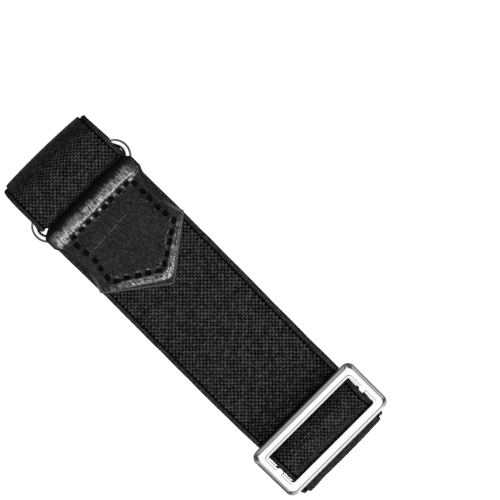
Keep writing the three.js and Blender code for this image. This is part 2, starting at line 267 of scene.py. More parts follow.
def strap_route():
    """The strap's middle line from its start in the tab to its sewn end, as one row of X and Z."""
    # along the top, through the slide and over the shoulder beyond it
    half_bar = (MIDDLE_BAR_TOP + SLIDE_THICKNESS / 2) / 2
    bar_middle = MIDDLE_BAR_TOP - half_bar
    wrap = half_bar + BAR_GAP + STRAP_THICKNESS / 2
    outer_bar = (SLIDE_WIDTH - SLIDE_BAR) / 2
    shoulder = np.array([LOOP_HALF - STRAP_THICKNESS / 2 - RIGHT_SHOULDER, RIGHT_SIDE_Z])
    wheels = [
        (np.array([STRAP_START_X, RING_Z]), 0, 1),
        (np.array([DIVE_X, RING_Z - DIVE_RADIUS]), DIVE_RADIUS, 1),
        (from_slide(-outer_bar, 0), UNDER_BAR, -1),
        (from_slide(-BAR_SIDE, bar_middle), wrap + LAYER_STEP, 1),
        (from_slide(BAR_SIDE, bar_middle), wrap + LAYER_STEP, 1),
        (from_slide(outer_bar, 0), UNDER_BAR, -1),
        (shoulder, RIGHT_SHOULDER, 1),
    ]
    top = belt(wheels, leaving=-np.pi / 2)

    # round both ends, and over the ring
    low = STRAP_THICKNESS / 2
    end_x = LOOP_HALF - END_REACH
    reach = END_REACH - low
    right = arc((end_x, RIGHT_SIDE_Z), reach, RIGHT_SIDE_Z - low, 0, -np.pi / 2)
    left_top = RING_Z + WIRE / 2 + RING_GAP + low
    left_middle = (-end_x, (left_top + low) / 2)
    left_low = arc(left_middle, reach, (left_top - low) / 2, 1.5 * np.pi, JOIN_ANGLE)
    left_high = arc(left_middle, reach, (left_top - low) / 2, JOIN_ANGLE, np.pi / 2)
    far_bar = RING_X - RING_BAR
    fold = arc((far_bar, left_top - FOLD_RADIUS), FOLD_RADIUS, FOLD_RADIUS, np.pi / 2, -np.pi / 2)

    # back from the ring, one layer inside the first
    crest = np.argmax(top[:, 0] > from_slide(BAR_SIDE, 0)[0])
    bottom = line(right[-1], left_low[0])
    doubled = np.concatenate([top[crest:], right, bottom, left_low])
    inner = beside(doubled, -LAYER_STEP)[::-1]
    way = (inner[5] - inner[0]) / np.linalg.norm(inner[5] - inner[0])
    swing, settle = TURN_HANDLES
    turned = curve_between(fold[-1], fold[-1] - [swing, 0], inner[0] - settle * way, inner[0])

    # round the middle bar, and a sewn flap one more layer inside
    bar = from_slide(-BAR_SIDE, bar_middle)
    wrapped = arc(bar, wrap, wrap, np.pi / 2 - SLIDE_TILT, 1.5 * np.pi - SLIDE_TILT)
    below = beside(inner, LAYER_STEP)[::-1]
    flap = below[np.argmax(below[:, 1] < wrapped[-1, 1] - FLAP_DROP):]
    flap = flap[distances(flap) < SEWN_FLAP]
    joint = line(wrapped[-1], flap[0])

    parts = [top, right, bottom, left_low, left_high, fold, turned, inner, wrapped, joint, flap]
    return without_doubles(np.concatenate(parts))


def divided(route, step):
    """The route divided into even steps, with its length."""
    length = distances(route)
    even = np.arange(0, length[-1], step)
    return np.stack([np.interp(even, length, route[:, i]) for i in (0, 1)], axis=1), length[-1]


RIB_PITCH = 0.645
route, strap_length = divided(strap_route(), RIB_PITCH / 2)
print(f"strap {strap_length:.0f} mm long, {len(route)} rows of points")

# %% [markdown]
# ## The elastic
# Woven elastic has ribs across it, where the weft is packed over the stretched rubber threads. On each rib
# the weft shows as short dashes, and the dashes of the next rib sit between them, as bricks do. The ribs here
# are real: a row of points runs along every crest and every valley. Along a crest every second point stands
# higher, which gives the brick pattern of the dashes at one point each. A bump map alone would look right
# from above and leave the edge of the fold as smooth as paper. The narrow edges, the selvedges, are woven
# closer and thinner, and they pull in a little where the strap turns.

# %% The strap's section
BODY_HALF = 13.2225  # the dashes' part of the width, on each side of the middle
DASHES = 42  # columns of points across that part
CREST = STRAP_THICKNESS / 2
VALLEY_DEPTH = 0.15
DASH_RISE = 0.06

# distance from the middle, half thickness and rib depth there
EDGE_STATIONS = [(13.45, 0.40, 0.08), (13.66, 0.16, 0.03), (13.9, 0.38, 0.05), (14.35, 0.43, 0.06),
                 (14.8, 0.34, 0.05), (15.0, 0.08, 0.02)]
UNDER_STATIONS = [(14.75, 0.36, 0.05), (13.85, 0.38, 0.05), (13.62, 0.24, 0.03), (13.2, 0.50, 0.12),
                  (6.6, 0.55, 0.14), (0.0, 0.55, 0.14)]


def strap_section():
    """Columns round the strap: place across, height from its middle, rib depth, and which side it is on."""
    edge, under = np.array(EDGE_STATIONS), np.array(UNDER_STATIONS)
    dashes = np.linspace(-BODY_HALF, BODY_HALF, DASHES)
    upper = [
        np.concatenate([-edge[::-1, 0], dashes, edge[:, 0]]),
        np.concatenate([edge[::-1, 1], np.full(DASHES, CREST), edge[:, 1]]),
        np.concatenate([edge[::-1, 2], np.full(DASHES, VALLEY_DEPTH), edge[:, 2]]),
    ]
    lower = [
        np.concatenate([under[:, 0], -under[-2::-1, 0]]),
        -np.concatenate([under[:, 1], under[-2::-1, 1]]),
        np.concatenate([under[:, 2], under[-2::-1, 2]]),
    ]
    across, height, depth = (np.concatenate(pair) for pair in zip(upper, lower))
    on_top = np.concatenate([np.ones(len(upper[0])), np.zeros(len(lower[0]))])
    return across, height, depth, on_top


# %% The strap's small irregularities
TURN_START, TURN_END = 49.5, 57.5  # between these distances from the loop's middle the strap turns
FIRST_TURN_X = 57.0  # the visible top layer reaches this before it turns down
BOW = 0.35  # how far the middle of a turn stands out beyond its edges
SELVEDGE_AT = 13.55  # from the strap's middle
SELVEDGE_SET_IN = -0.55
NARROW_END = 30.0  # length of the sewn end that is kept narrow


def fold_bulge(across, x):
    """How far the strap stands out where it turns at the ends: bowed by the square of the place across, set
    in at the selvedges, and each end a little askew."""
    bow = BOW * (1 - (across / BODY_HALF) ** 2)
    bulge = np.where(np.abs(across) < SELVEDGE_AT, np.maximum(bow, -0.1), SELVEDGE_SET_IN)
    left = bulge - 0.42 - 0.016 * across
    right = bulge + 0.1 + 0.45 * smooth_step(-across, 7, 13)
    return np.where(x > 0, right, left)


def strap_width_change(places, row):
    """How much wider than drawn the strap is, as a share: wider up to the slide and at the end beyond it,
    and narrower in the slide. The layers below and inside are never wider, and the sewn end is narrow."""
    stations = [-36, 0, 34, 42, 44, 46.6, 49.2, 51.5, 53, 60]
    changes = [0.016, 0.014, -0.005, -0.007, -0.009, -0.022, -0.024, -0.009, -0.002, 0.034]
    change = np.interp(places[:, 0], stations, changes)
    below = (row > np.argmax(places[:, 0] > FIRST_TURN_X)) & (places[:, 0] < 50)
    change = np.where(below, np.minimum(change, -0.001), change)
    sewn_end = row > len(places) - NARROW_END / (RIB_PITCH / 2)
    return np.where(sewn_end, -0.014, change)


def sideways_drift(x, row):
    """How far the strap's middle wanders from the straight line, a little less past the first turn."""
    stations = [-57, -53, -48, -32, -22, -3, 8, 18, 30, 44, 52.5, 57]
    drift = np.interp(x, stations, [-0.5, -0.3, -0.22, -0.21, -0.05, 0, -0.13, -0.22, -0.26, 0, -0.05, -0.7])
    return drift * np.where(row < np.argmax(x > FIRST_TURN_X), 1.0, 0.8)


# %% Strap surface
CLOTH_UNEVENNESS = 0.02
RIB_WANDER = 0.07  # each rib along the strap
GROUP_WANDER = 0.10  # several ribs together
EDGE_WANDER = 0.07


def strap_surface():
    """The section carried along the route. Valley rows sink by the rib depth, and on crest rows the dashes
    stand up in turn. Each rib wanders a little along the strap by a random line of its own."""
    across, height, depth, on_top = strap_section()
    row = np.arange(len(route))
    rib = row / 2
    valley = (row % 2)[:, None]
    column = np.round((across + BODY_HALF) / RIB_PITCH)
    odd = (np.floor(rib)[:, None] + column[None, :]) % 2
    is_dash = (np.abs(across) < BODY_HALF + 0.01) & (on_top > 0)
    side = np.sign(height)
    # ribs and dashes, square to the cloth
    rise = -valley * depth + (1 - valley) * is_dash * DASH_RISE * (1 - 2 * odd)
    uneven = soft_noise(rib[:, None] * RIB_PITCH, across[None, :], 0.9, 3)
    rise = rise + CLOTH_UNEVENNESS * uneven * (depth > 0.1)
    out = height[None, :] + side * rise

    # the ribs' wandering along the cloth
    wander = RIB_WANDER * soft_noise(rib[:, None] * 1.9, across[None, :] / 5, 1.0, 5)
    wander = wander + GROUP_WANDER * soft_noise(rib[:, None] / 6, across[None, :] / 9, 1.0, 6)
    normal = leftward(route)
    along = np.stack([normal[:, 1], -normal[:, 0]], axis=1)
    x = route[:, :1] + normal[:, :1] * out + along[:, :1] * wander
    z = route[:, 1:] + normal[:, 1:] * out + along[:, 1:] * wander

    # width, drift and the bulges of the turns
    width = 1 + strap_width_change(route, row)[:, None]
    y = across[None, :] * width + sideways_drift(route[:, 0], row)[:, None]
    y = y + EDGE_WANDER * soft_noise(rib[:, None] * RIB_PITCH, 0 * across[None, :], 5.0, 8)
    turning = smooth_step(np.abs(x), TURN_START, TURN_END)
    outward = np.where(x > 0, 1, -1) * turning * fold_bulge(across[None, :], x)
    points = np.stack([x + outward, y, z], axis=-1)
    along_strap = np.broadcast_to((rib * RIB_PITCH)[:, None], x.shape)
    from_edge = np.broadcast_to((across + BODY_HALF)[None, :], x.shape)
    from_middle = np.broadcast_to(np.abs(across)[None, :], x.shape)
    return points, np.stack([along_strap, from_edge, from_middle], axis=-1)


strap_points, weave_places = strap_surface()
strap = add_piece(
    "elastic_strap",
    strap_points,
    grid_faces(*strap_points.shape[:2], closed_columns=True),
    caps=end_caps(*strap_points.shape[:2]),
    attributes={"weave": weave_places.reshape(-1, 3)},
)
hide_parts("elastic_band")

# %% [markdown]
# ## The leather tab
# The tab is one strip of black leather folded round the ring's near bar. It is cut to a point, drawn in at
# its waist, and sewn through both flaps and the end of the strap between them. The seam pulls the leather
# down, so it slopes from the roll into a valley, and it puckers round every stitch. The cut edge stays a
# little proud. By the point the leather puffs up on both sides of each stitch, and droops outside the seam.
# A flat plate with a bump map would lose the slope that carries the long highlight on the roll, so the
# valley, the stitch dips, the puffs, the puckers and the edge are all heights of the surface.

# %% Outline of the tab
LEATHER = 1.2
ROLL_X = RING_X + RING_BAR  # middle of the ring's near bar
ROLL_RADIUS = 2.05  # to the leather's middle
FLAP_RISE = 1.4  # from the strap's middle to the leather's middle
TAB_TIP_X = -7.15
TIP_ROUNDING = 0.5
ROLL_WIDTH_CUT = 2.45  # how far each corner is cut back at the front of the roll
TAB_HALF = 15.75
WAIST = (-26.5, 13.9)
SHOULDER = (-19.1, 15.45)


def quadratic(start, pull, end):
    """The curve of three points: each weighted by the terms of ((1 - s) + s) squared."""
    s = np.linspace(0, 1, 40)[:, None]
    return (1 - s) ** 2 * np.array(start) + 2 * s * (1 - s) * np.array(pull) + s**2 * np.array(end)


def tab_half_width(x):
    """Half width of the flaps at X: straight by the roll, two curves about the waist, and a rounded point."""
    waist_in = quadratic((ROLL_X + 2.5, TAB_HALF), (ROLL_X + 6.5, WAIST[1]), WAIST)
    waist_out = quadratic(WAIST, (WAIST[0] + 4, WAIST[1]), SHOULDER)
    outline = np.concatenate([[[ROLL_X - 9, TAB_HALF]], waist_in, waist_out[1:]])
    side = np.interp(x, outline[:, 0], outline[:, 1])
    steep = SHOULDER[1] / (TAB_TIP_X - SHOULDER[0])
    straight = np.maximum(TAB_TIP_X - x, 0) * steep
    point = np.sqrt((straight + TIP_ROUNDING) ** 2 - TIP_ROUNDING**2)
    soft = 0.5  # rounds the shoulder where the point meets the side
    return 0.5 * (side + point - np.sqrt((side - point) ** 2 + soft**2)) + soft / 4 * smooth_step(-x, 12, 18)


# %% Stitches round the tab
STITCH_PITCH = 2.9
STITCH_WANDER = 0.12
SEAM = [
    (-34.6, 11.4), (-27.1, 11.2), (-19.0, 11.9), (-11.6, 0.7),
    (-19.3, -11.5), (-25.4, -10.4), (-34.4, -10.9),
]


def even_stitches(loop, pitch):
    """Middles and directions of stitches spread evenly round a line that ends where it starts."""
    length = distances(loop)
    count = round(length[-1] / pitch)
    at = (np.arange(count) + 0.5) * length[-1] / count
    middles = np.stack([np.interp(at, length, loop[:, i]) for i in (0, 1)], axis=1)
    leg = np.searchsorted(length, at) - 1
    way = (loop[leg + 1] - loop[leg]) / np.diff(length)[leg][:, None]
    return middles, way


seam_loop = np.array([*SEAM, SEAM[0]])
stitches, stitch_ways = even_stitches(seam_loop, STITCH_PITCH)
stitches = stitches + rng.normal(0, STITCH_WANDER, stitches.shape)
print(len(stitches), "stitches round the tab")


# %% Distances from the seam and from each stitch
def distance_to_seam(x, y):
    """The least distance to any straight leg of the seam."""
    nearest = np.full(np.shape(x), 1e3)
    for (ax, ay), (bx, by) in zip(seam_loop, seam_loop[1:]):
        wide, high = bx - ax, by - ay
        share = np.clip(((x - ax) * wide + (y - ay) * high) / (wide**2 + high**2), 0, 1)
        nearest = np.minimum(nearest, np.hypot(x - ax - share * wide, y - ay - share * high))
    return nearest


def inside_seam(x, y):
    """1 inside the closed line of the seam and 0 outside, by counting the legs crossed on the way out."""
    inside = np.zeros(np.shape(x), bool)
    for (ax, ay), (bx, by) in zip(seam_loop, seam_loop[1:]):
        inside ^= ((ay > y) != (by > y)) & (x < ax + (bx - ax) * (y - ay) / (by - ay))
    return inside.astype(float)


def around_stitches(x, y):
    """For each stitch its number, its X, and how far each place lies along it and outside the seam."""
    for i, ((cx, cy), (wx, wy)) in enumerate(zip(stitches, stitch_ways)):
        yield i, cx, (x - cx) * wx + (y - cy) * wy, -(x - cx) * wy + (y - cy) * wx


def by_point(x):
    """0 from the waist back and 1 near the tab's point."""
    return smooth_step(x, -24, -15)


# %% Bells and ovals
def bell(distance, width):
    """e to the minus square of distance over width: 1 in the middle, with a soft foot."""
    return np.exp(-((distance / width) ** 2))


def oval(along, outward, length, width):
    """e to the minus sum of the squares of along over length and outward over width."""
    return np.exp(-((along / length) ** 2) - (outward / width) ** 2)


def hole(along, outward, length, width):
    """The same with cubes, which gives a flatter floor and a steeper rim."""
    return np.exp(-np.abs(along / length) ** 3 - np.abs(outward / width) ** 3)


# %% Heights of the leather
DIP_DEPTH = 0.55
VALLEY = 0.30
PUCKER = 0.035
PUFF = 0.17
ROLL_FOOT_X = -33.8  # where the slope from the roll ends
ROLL_FOOT_DEPTH = 0.32


def puffs_beside(along, outward, cx):
    """Two soft ovals beside a stitch, both higher towards the point: one outside the seam, one inside."""
    tip = by_point(cx)
    outer = tip * oval(along, outward - 1.2, 0.85, 0.36)
    return outer + (0.6 + 0.3 * tip) * oval(along, outward + 0.9, 0.6, 0.26)


def stitch_relief(x, y):
    """A dip for each stitch, puffs beside it, and fine creases that run out from it as a fading wave."""
    relief = np.zeros(np.shape(x))
    for i, cx, along, outward in around_stitches(x, y):
        depth = DIP_DEPTH * (1 + 0.25 * np.sin(i * 2.3))
        crease = np.sin(along * 7.5 + i * 1.7 + 1.5 * soft_noise(x, y, 0.8, 11))
        fading = oval(along, np.abs(outward) - 0.9, 1.5, 0.8)
        relief = relief - depth * hole(along, outward, 0.72, 0.46)
        relief = relief + (PUCKER + 0.02 * by_point(cx)) * crease * fading
        relief = relief + PUFF * puffs_beside(along, outward, cx)
    return relief


def leather_heights(x, y, seed):
    """Everything that lifts or sinks a flap, as a sum of bells and steps: the foot of the roll's slope, the
    seam's valley, the stitches, the swelling beside the seam, the droop by the point and the cut edge."""
    seam = distance_to_seam(x, y)
    slope = np.sqrt(1 + np.gradient(tab_half_width(x[:, 0]), x[:, 0]) ** 2)[:, None]
    edge = (tab_half_width(x) - np.abs(y)) / np.clip(slope, 1, 1.7)
    by_roll = smooth_step(-x, 30.9, 33.4)
    foot = x - ROLL_FOOT_X + 0.4 * soft_noise(x / 6, y, 1.3, seed + 5)
    foot = foot + 0.2 * soft_noise(x / 6, y, 0.5, seed + 6)
    height = -VALLEY * bell(seam, 0.95) * (1 - 0.5 * smooth_step(-x, 33.0, 33.8))
    height -= ROLL_FOOT_DEPTH * bell(foot, 2.2) * by_roll
    height += stitch_relief(x, y)
    tip = smooth_step(x, -27, -17)
    outside = 1 - inside_seam(x, y)
    swell = bell(seam - 1.45 + 0.6 * tip * outside, 0.6) * (0.06 + 0.03 * tip * outside)
    height += swell * (1 + 0.6 * soft_noise(x, y, 1.3, seed + 1))
    droop = 0.20 * smooth_step(seam, 0.2, 0.7) - 0.27 * np.clip(seam - 0.5, 0, 2.2)
    height += droop * outside * smooth_step(x, -22, -16)
    height += bell(seam - 1.3, 0.8) * (0.02 + 0.07 * tip) * soft_noise(x, y, 0.5, seed + 2)
    height += 0.09 * bell(edge - 0.33, 0.22) - 0.05 * bell(edge - 0.85, 0.25)
    height -= 0.45 * (1 - smooth_step(edge, -0.05, 0.22)) ** 2
    return height + 0.06 * soft_noise(x, y, 4.5, seed + 3) + 0.02 * soft_noise(x, y, 0.8, seed + 4)


# %% Leather surface
FLAP_STEP = 0.2
OUTER_COLUMNS = 140
INNER_COLUMNS = 15
EDGE_COLUMNS = np.array([0.0, 0.06, 0.15, 0.28, 0.42, 0.56, 0.72, 0.9])
TIP_ROWS = np.array([0.0, 0.05, 0.15, 0.3, 0.5, 0.72, 0.95])
FLAP_START_X = ROLL_X + 3.6  # from here on the flaps lie level
ROLL_ANGLES = (282, 78)  # degrees round the bar where the leather leaves it, below and above


def tab_route():
    """The leather's middle line: the lower flap from its point, the roll and the upper flap to its point."""
    near_bar = (ROLL_X, RING_Z)
    bend = arc(near_bar, ROLL_RADIUS, ROLL_RADIUS, *np.radians(ROLL_ANGLES))
    near_tip = TAB_TIP_X - TIP_ROWS
    flat = np.arange(near_tip[-1] - FLAP_STEP, FLAP_START_X, -FLAP_STEP)
    flap_x = np.concatenate([near_tip, flat])
    low = np.stack([flap_x, np.full(len(flap_x), RING_Z - FLAP_RISE)], axis=1)
    high = np.stack([flap_x[::-1], np.full(len(flap_x), RING_Z + FLAP_RISE)], axis=1)
    ramp_low = line(low[-1], bend[0])[1:-1]
    ramp_high = line(bend[-1], high[0])[1:-1]
    roll = divided(np.concatenate([ramp_low, bend, ramp_high]), FLAP_STEP)[0]
    return np.concatenate([low, roll, high])


def tab_surface():
    """A closed section carried along the tab. Its outer side has fine columns, close together by the cut
    edge, and its inner side has few. The half width comes from the outline, less a cut round the roll."""
    route_tab = tab_route()
    normal = leftward(route_tab)
    x, z = route_tab[:, 0], route_tab[:, 1]
    half = tab_half_width(x)
    round_bar = np.degrees(np.arctan2(ROLL_X - x, np.abs(z - RING_Z)))
    half = half - ROLL_WIDTH_CUT * smooth_step(np.abs(round_bar) * (x < ROLL_X), 10, 80)

    # columns across the tab
    shrink = np.minimum(1, half / (2 * EDGE_COLUMNS[-1]))[:, None]
    edge = half[:, None] - EDGE_COLUMNS[None, :] * shrink
    share = np.linspace(-1, 1, OUTER_COLUMNS + 2)[None, 1:-1]
    outer_y = np.concatenate([-edge, edge[:, -1:] * share, edge[:, ::-1]], axis=1)
    inner_y = (half - 0.05 * shrink[:, 0])[:, None] * np.linspace(0.99, -0.99, INNER_COLUMNS)[None, :]

    # heights of the flaps, blended into those of the roll
    outer_x = np.broadcast_to(x[:, None], outer_y.shape)
    flap = smooth_step(x, ROLL_X + 1.2, ROLL_X + 3.2)[:, None]
    top = (z > RING_Z)[:, None]
    heights = np.where(top, leather_heights(outer_x, outer_y, 21), leather_heights(outer_x, outer_y, 51))
    around = np.cumsum(np.hypot(*np.gradient(route_tab, axis=0).T))[:, None] + 0 * outer_y
    streaks = soft_noise(around / 3.2, outer_y, 0.34, 31) * 0.028
    streaks = streaks + soft_noise(around, outer_y, 1.6, 32) * 0.04
    side = (half[:, None] - np.abs(outer_y)) / np.maximum(shrink, 0.05)
    roll_heights = streaks - 0.4 * (1 - smooth_step(side, -0.05, 0.25)) ** 2
    out = LEATHER / 2 + flap * heights + (1 - flap) * roll_heights

    points = []
    for across, height in ((outer_y, out), (inner_y, np.full(inner_y.shape, -LEATHER / 2))):
        column_x = x[:, None] + normal[:, :1] * height
        column_z = z[:, None] + normal[:, 1:] * height
        points.append(np.stack([column_x, across, column_z], axis=-1))
    shine = polish(outer_x, outer_y, top) * smooth_step(side, 0.5, 0.8)
    marks = [np.concatenate([mark, 0 * inner_y], axis=1) for mark in (around, side * shrink, shine)]
    return np.concatenate(points, axis=1), np.stack(marks, axis=-1)


def polish(x, y, top):
    """How far the leather is polished: a little on the flaps, not at the roll's front, most on the slope
    behind the roll and on the puffs by the point. It falls to -1 in the stitch holes, which marks them for
    painted shade."""
    flat = 0.09 * smooth_step(x, -38.8, -37.0)
    ragged = 0.5 * soft_noise(x / 5, y, 0.5, 79) + 0.3 * soft_noise(x / 5, y, 2.2, 80)
    slope = smooth_step(x + ragged, -38.8, -37.6) * smooth_step(-x + 1.6 * ragged, 33.6, 34.8)
    slope = slope * smooth_step(y, -15.6, -13.3) * smooth_step(-y, -14.4, -11.5)
    puffs, holes = np.zeros(np.shape(x)), np.zeros(np.shape(x))
    for _, cx, along, outward in around_stitches(x, y):
        puffs = puffs + puffs_beside(along, outward, cx)
        holes = holes + hole(along, outward, 0.74, 0.48)
    seam = distance_to_seam(x, y)
    margin = smooth_step(seam, 0.2, 0.5) * smooth_step(-seam, -3.0, -2.3) * (1 - inside_seam(x, y))
    margin = margin * smooth_step(x, -21, -14) * (0.95 + 0.5 * soft_noise(x, y, 0.6, 78))
    shine = np.maximum(np.maximum(flat, margin), np.maximum(slope, puffs))
    return np.where(top, shine - (1 + shine) * np.minimum(holes, 1), 0.2)


tab_points, tab_marks = tab_surface()
tab = add_piece(
    "leather_cover",
    tab_points,
    grid_faces(*tab_points.shape[:2], closed_columns=True),
    caps=end_caps(*tab_points.shape[:2]),
    attributes={"tab": tab_marks.reshape(-1, 3)},
)
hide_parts("leather_tab")

# %% [markdown]
# ## Thread
# Each stitch is a short bridge of black thread that dives into the leather at both ends. All of the stitches
# of a seam are one mesh: a small bent tube, worked out once and repeated by adding a middle and a direction
# to it. The strap's far end is sewn back round the slide's middle bar with two rows of the same thread.

# %% Stitches as small bent tubes
THREAD = 0.27  # radius
THREAD_DIVE = 0.75  # how far each end of a stitch sinks


def bent_tubes(middles, ways, downs, reach):
    """For each stitch a tube along its way, whose middle sinks by the fourth power of the place along it."""
    s = np.linspace(-1, 1, 9)
    turn = np.linspace(0, 2 * np.pi, 8, endpoint=False)
    ways = ways / np.linalg.norm(ways, axis=1, keepdims=True)
    sides = np.cross(ways, downs)
    radius = THREAD * (1 - 0.35 * s**4)[None, :, None, None]
    middle = middles[:, None, :] + ways[:, None, :] * (s * reach)[None, :, None]
    middle = middle + downs[:, None, :] * (THREAD_DIVE * s**4)[None, :, None]
    round_it = sides[:, None, None, :] * np.cos(turn)[None, None, :, None]
    round_it = round_it - downs[:, None, None, :] * np.sin(turn)[None, None, :, None]
    points = middle[:, :, None, :] + radius * round_it
    one = grid_faces(len(s), len(turn), closed_columns=True)
    size = len(s) * len(turn)
    faces = (one[None] + (np.arange(len(middles)) * size)[:, None, None]).reshape(-1, 4)
    caps = []
    for start in range(0, len(middles) * size, size):
        caps += end_caps(len(s), len(turn), start)
    along = np.broadcast_to((s * reach)[None, :, None], points.shape[:3])
    around = np.broadcast_to(turn[None, None, :], points.shape[:3])
    return points, faces, caps, np.stack([along, around, 0 * along], axis=-1)


def seam_thread(name, seam_middles, seam_ways, seam_downs, slot, reach=0.85):
    """All of the stitches of a seam as one piece. Reach is half the length of a stitch."""
    points, faces, caps, twist = bent_tubes(seam_middles, seam_ways, seam_downs, reach)
    thread = add_piece(name, points, faces, caps, attributes={"twist": twist.reshape(-1, 3)})
    return thread


# %% Stitches through both flaps
def tab_stitches():
    """The seam's stitches on the upper and then on the lower flap: their places at the floor of the dips, the
    ways along them, and the ways into the leather."""
    top_z = RING_Z + FLAP_RISE + LEATHER / 2
    floor_of_dip = VALLEY + DIP_DEPTH
    count = len(stitches)
    both_z = np.repeat([top_z - floor_of_dip, 2 * RING_Z - top_z + floor_of_dip], count)
    middles = np.column_stack([np.tile(stitches, (2, 1)), both_z])
    ways = np.column_stack([np.tile(stitch_ways, (2, 1)), np.zeros(2 * count)])
    downs = np.column_stack([np.zeros((2 * count, 2)), np.repeat([-1.0, 1.0], count)])
    return middles, ways, downs


tab_thread = seam_thread("tab_thread", *tab_stitches(), "leather")

# %% Rows of stitches at the strap's sewn end
SEWN_ROWS = (7.0, 10.5)  # distances from the strap's cut end
SEWN_PITCH = 2.6
SEWN_HALF = 11.7  # from the strap's middle to the last stitch of a row
SEWN_DEPTH = 0.06  # from the cloth's face to the middle of a stitch


def sewn_end_stitches():
    """Places across the strap on the free side of its flap, with the ways across and into the cloth."""
    normal = leftward(route)
    y = np.arange(-SEWN_HALF, SEWN_HALF + 0.1, SEWN_PITCH)
    middles, downs = [], []
    for back in SEWN_ROWS:
        at = len(route) - round(back / (RIB_PITCH / 2))
        outside = route[at] - normal[at] * (CREST - SEWN_DEPTH)
        middles.append(np.column_stack([np.full(len(y), outside[0]), y, np.full(len(y), outside[1])]))
        downs.append(np.tile([normal[at][0], 0, normal[at][1]], (len(y), 1)))
    middles, downs = np.concatenate(middles), np.concatenate(downs)
    return middles, np.tile([0.0, 1.0, 0.0], (len(middles), 1)), downs


end_thread = seam_thread("end_thread", *sewn_end_stitches(), "elastic", reach=1.0)

# %% [markdown]
# ## The ring
# The ring is a piece of round wire bent to two straight bars and two half circles, and chrome plated. It is a
# tube round one closed line. The drawn ring has flat facets that chrome would show at once, so the tube here
# has many more, with true round sections.

# %% Ring surface
def ring_surface(around=36, straight_points=40, bend_points=48):
    """A circle of the wire's radius carried round two straights and two half circles, turned and placed. The
    number stored with each point is 1 on the wire's top and bottom and 0 on its sides, which the chrome
    paints darker as a painted dark reflection."""
    half_straight = (RING_LENGTH - 2 * RING_BAR - WIRE) / 2
    bend = np.linspace(0, np.pi, bend_points)
    run = np.linspace(-half_straight, half_straight, straight_points)[1:-1]
    x = np.concatenate([np.full(len(run), RING_BAR), RING_BAR * np.cos(bend)])
    y = np.concatenate([run, half_straight + RING_BAR * np.sin(bend)])
    angle = np.concatenate([np.zeros(len(run)), bend])
    x, y, angle = np.concatenate([x, -x]), np.concatenate([y, -y]), np.concatenate([angle, angle + np.pi])
    section = np.linspace(0, 2 * np.pi, around, endpoint=False)
    out = WIRE / 2 * np.cos(section)[None, :]
    flat_x = x[:, None] + out * np.cos(angle)[:, None]
    flat_y = y[:, None] + out * np.sin(angle)[:, None]
    z = RING_Z + WIRE / 2 * np.sin(section)[None, :] + 0 * flat_x
    turn = np.radians(RING_TURN)
    placed_x = RING_X + flat_x * np.cos(turn) - flat_y * np.sin(turn)
    placed_y = flat_x * np.sin(turn) + flat_y * np.cos(turn)
    away_from_rim = smooth_step(np.abs(np.sin(section)), 0.62, 0.97)[None, :] + 0 * flat_x
    return np.stack([placed_x, placed_y, z], axis=-1), away_from_rim.ravel()


ring_points, ring_away_from_rim = ring_surface()
ring = add_piece(
    "wire_ring",
    ring_points,
    grid_faces(*ring_points.shape[:2], closed_rows=True, closed_columns=True),
    attributes={"away_from_rim": ring_away_from_rim},
)
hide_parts("ring")

# %% [markdown]
# ## The slide
# The slide looks cast: an oblong frame with a flat top, wide outer and narrow inner bevels, and a thinner bar
# across its middle for the strap. Where that bar leaves the frame its root stays level with the top, as a
# small half-round lug. The frame is a family of rounded oblongs, one for each point of the bar's profile, so
# its corners and bevels stay true. Cutting slots out of a block would give hard edges that cast metal lacks.

# %% Slide surface
FRAME_PROFILE = [  # inset from the outer edge, height from the middle plane
    (0.25, -0.90), (0.06, -0.84), (0.0, -0.70), (0.0, -0.12), (0.04, 0.0), (0.35, 0.27), (0.70, 0.55),
    (1.0, 0.79), (1.12, 0.865), (1.24, 0.895), (1.36, 0.90), (2.46, 0.90), (2.52, 0.885), (2.60, 0.83),
    (2.66, 0.81), (2.72, 0.81), (3.14, 0.81), (3.21, 0.795), (3.28, 0.73), (3.3, 0.64), (3.3, -0.68),
    (3.23, -0.84), (3.05, -0.90),
]
OUTER_CORNER = 2.3
SLOT_CORNER = 0.8
MIDDLE_BAR_HALF = 1.0
ROOT_FLARE = 0.55
LUG_RADII = (1.4, 0.85)  # across the bar and along it
SQUARENESS = 4.5  # of the middle bar's section: 2 is an ellipse, and more is closer to an oblong
SUNK_END = 1.0  # how far the middle bar runs on inside the frame
SUNK_FACE = 0.004  # how far its faces stay inside the frame's


def rounded_oblong(half_x, half_y, radius, corner_points=12, side_points=18):
    """Corner arcs joined by straight sides, the same number of points for any size."""
    quarter = np.linspace(0, np.pi / 2, corner_points)
    middles = [(1, 1), (-1, 1), (-1, -1), (1, -1)]
    corners = []
    for i, (sx, sy) in enumerate(middles):
        angle = quarter + i * np.pi / 2
        corner_x = sx * (half_x - radius) + radius * np.cos(angle)
        corner_y = sy * (half_y - radius) + radius * np.sin(angle)
        corners.append(np.stack([corner_x, corner_y], axis=1))
    outline = []
    for here, there in zip(corners, corners[1:] + corners[:1]):
        outline += [here, np.linspace(here[-1], there[0], side_points)[1:-1]]
    return np.concatenate(outline)


def placed_on_slide(points):
    """Points in the slide's own frame, tilted about its middle and moved to its place."""
    placed = from_slide(points[..., 0], points[..., 2])
    return np.stack([placed[0], points[..., 1], placed[1]], axis=-1)


def frame_surface():
    """One rounded oblong for each point of the profile, at that point's inset and height."""
    loops = []
    for inset, height in FRAME_PROFILE:
        radius = OUTER_CORNER + (SLOT_CORNER - OUTER_CORNER) * inset / SLIDE_BAR
        loop = rounded_oblong(SLIDE_WIDTH / 2 - inset, SLIDE_LENGTH / 2 - inset, radius)
        loops.append(np.column_stack([loop, np.full(len(loop), height)]))
    return np.stack(loops, axis=1)


